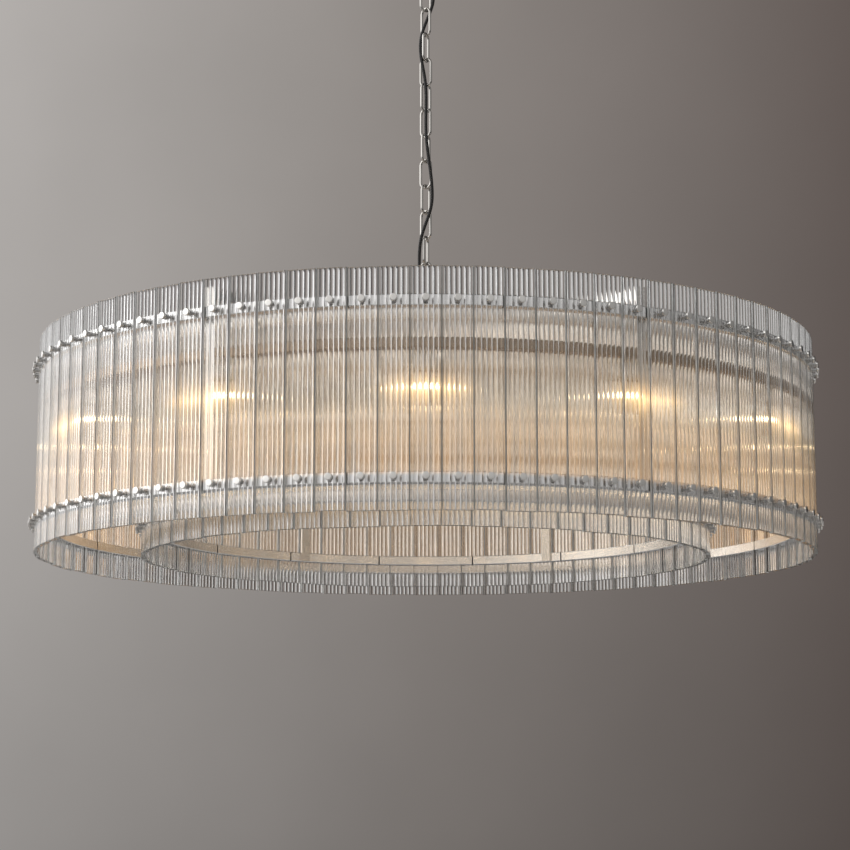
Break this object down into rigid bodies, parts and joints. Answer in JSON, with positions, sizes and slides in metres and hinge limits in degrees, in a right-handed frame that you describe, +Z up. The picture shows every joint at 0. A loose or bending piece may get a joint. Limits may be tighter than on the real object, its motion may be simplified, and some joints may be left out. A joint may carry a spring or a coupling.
{
  "type": "plank glass chandelier",
  "caption": "Round ceiling chandelier: concentric drums of upright fluted glass planks on polished nickel hoops, lamps between them, hung on a chain with a woven cord from a canopy.",
  "frame": {"origin": "middle of the ceiling strap's top face, in the plane of the ceiling", "axes": "+Z up, towards the ceiling; the camera of the picture looks along +Y; +X to its right"},
  "size_m": [1.5476, 1.548, 1.263],
  "materials": {
    "nickel": "polished nickel, warm and mirror bright, with faint brushing on the hoops",
    "strap": "plain zinc plated steel",
    "socket": "nickel plated brass, satin",
    "cord": "black fabric braid over rubber",
    "bulb": "frosted, lit warm white",
    "glass_outer": "clear cast planks with vertical flutes, polished bevelled edges",
    "glass_inner": "clear cast planks with vertical flutes, polished bevelled edges"
  },
  "bodies": {
    "ceiling_mount": {"ceiling_strap": "strap", "loop_stem": "nickel"},
    "canopy": {"canopy": "nickel"},
    "collar": {"locking_collar": "nickel"},
    "top_link": {"chain_link_14": "nickel"},
    "chain": {"chain_link_02": "nickel", "chain_link_03": "nickel", "chain_link_04": "nickel", "chain_link_05": "nickel", "chain_link_06": "nickel", "chain_link_07": "nickel", "chain_link_08": "nickel", "chain_link_09": "nickel", "chain_link_10": "nickel", "chain_link_11": "nickel", "chain_link_12": "nickel", "chain_link_13": "nickel", "cord": "cord"},
    "bottom_link": {"chain_link_01": "nickel"},
    "drum": {"hub_loop": "nickel", "hub_body": "nickel", "hub_cap": "nickel", "frame_rib_1": "nickel", "frame_rib_2": "nickel", "frame_rib_3": "nickel", "frame_rib_4": "nickel", "frame_rib_5": "nickel", "frame_rib_6": "nickel", "outer_hoop_lower": "nickel", "outer_hoop_upper": "nickel", "inner_hoop_lower": "nickel", "inner_hoop_upper": "nickel", "lamp_ring": "nickel", "lamp_socket_01": "socket", "lamp_socket_02": "socket", "lamp_socket_03": "socket", "lamp_socket_04": "socket", "lamp_socket_05": "socket", "lamp_socket_06": "socket", "lamp_socket_07": "socket", "lamp_socket_08": "socket", "lamp_socket_09": "socket", "lamp_socket_10": "socket", "lamp_socket_11": "socket", "lamp_socket_12": "socket", "glass_outer": "glass_outer", "glass_inner": "glass_inner"},
    "bulb_01": {"bulb_01": "bulb"},
    "bulb_02": {"bulb_02": "bulb"},
    "bulb_03": {"bulb_03": "bulb"},
    "bulb_04": {"bulb_04": "bulb"},
    "bulb_05": {"bulb_05": "bulb"},
    "bulb_06": {"bulb_06": "bulb"},
    "bulb_07": {"bulb_07": "bulb"},
    "bulb_08": {"bulb_08": "bulb"},
    "bulb_09": {"bulb_09": "bulb"},
    "bulb_10": {"bulb_10": "bulb"},
    "bulb_11": {"bulb_11": "bulb"},
    "bulb_12": {"bulb_12": "bulb"}
  },
  "joints": [
    {"name": "canopy_drop", "type": "slide", "parent": "ceiling_mount", "child": "canopy", "axis": [0, 0, 1], "range_m": [-0.05, 0]},
    {"name": "collar_turn", "type": "hinge", "parent": "canopy", "child": "collar", "pos_m": [0, 0, -0.046], "axis": [0, 0, 1], "continuous": true},
    {"name": "sway_front_back", "type": "hinge", "parent": "ceiling_mount", "child": "top_link", "pos_m": [0, 0, -0.0744], "axis": [1, 0, 0], "range_deg": [-4, 4], "deforming": ["cord"]},
    {"name": "sway_side", "type": "hinge", "parent": "top_link", "child": "chain", "pos_m": [0, 0, -0.128], "axis": [0, 1, 0], "range_deg": [-4, 4], "deforming": ["cord"]},
    {"name": "tilt_front_back", "type": "hinge", "parent": "chain", "child": "bottom_link", "pos_m": [0, 0, -0.7712], "axis": [1, 0, 0], "range_deg": [-4, 4], "deforming": ["cord"]},
    {"name": "tilt_side", "type": "hinge", "parent": "bottom_link", "child": "drum", "pos_m": [0, 0, -0.8248], "axis": [0, 1, 0], "range_deg": [-4, 4], "deforming": ["cord"]},
    {"name": "bulb_out_01", "type": "slide", "parent": "drum", "child": "bulb_01", "axis": [0, 0, 1], "range_m": [-0.012, 0]},
    {"name": "bulb_out_02", "type": "slide", "parent": "drum", "child": "bulb_02", "axis": [0, 0, 1], "range_m": [-0.012, 0]},
    {"name": "bulb_out_03", "type": "slide", "parent": "drum", "child": "bulb_03", "axis": [0, 0, 1], "range_m": [-0.012, 0]},
    {"name": "bulb_out_04", "type": "slide", "parent": "drum", "child": "bulb_04", "axis": [0, 0, 1], "range_m": [-0.012, 0]},
    {"name": "bulb_out_05", "type": "slide", "parent": "drum", "child": "bulb_05", "axis": [0, 0, 1], "range_m": [-0.012, 0]},
    {"name": "bulb_out_06", "type": "slide", "parent": "drum", "child": "bulb_06", "axis": [0, 0, 1], "range_m": [-0.012, 0]},
    {"name": "bulb_out_07", "type": "slide", "parent": "drum", "child": "bulb_07", "axis": [0, 0, 1], "range_m": [-0.012, 0]},
    {"name": "bulb_out_08", "type": "slide", "parent": "drum", "child": "bulb_08", "axis": [0, 0, 1], "range_m": [-0.012, 0]},
    {"name": "bulb_out_09", "type": "slide", "parent": "drum", "child": "bulb_09", "axis": [0, 0, 1], "range_m": [-0.012, 0]},
    {"name": "bulb_out_10", "type": "slide", "parent": "drum", "child": "bulb_10", "axis": [0, 0, 1], "range_m": [-0.012, 0]},
    {"name": "bulb_out_11", "type": "slide", "parent": "drum", "child": "bulb_11", "axis": [0, 0, 1], "range_m": [-0.012, 0]},
    {"name": "bulb_out_12", "type": "slide", "parent": "drum", "child": "bulb_12", "axis": [0, 0, 1], "range_m": [-0.012, 0]}
  ]
}
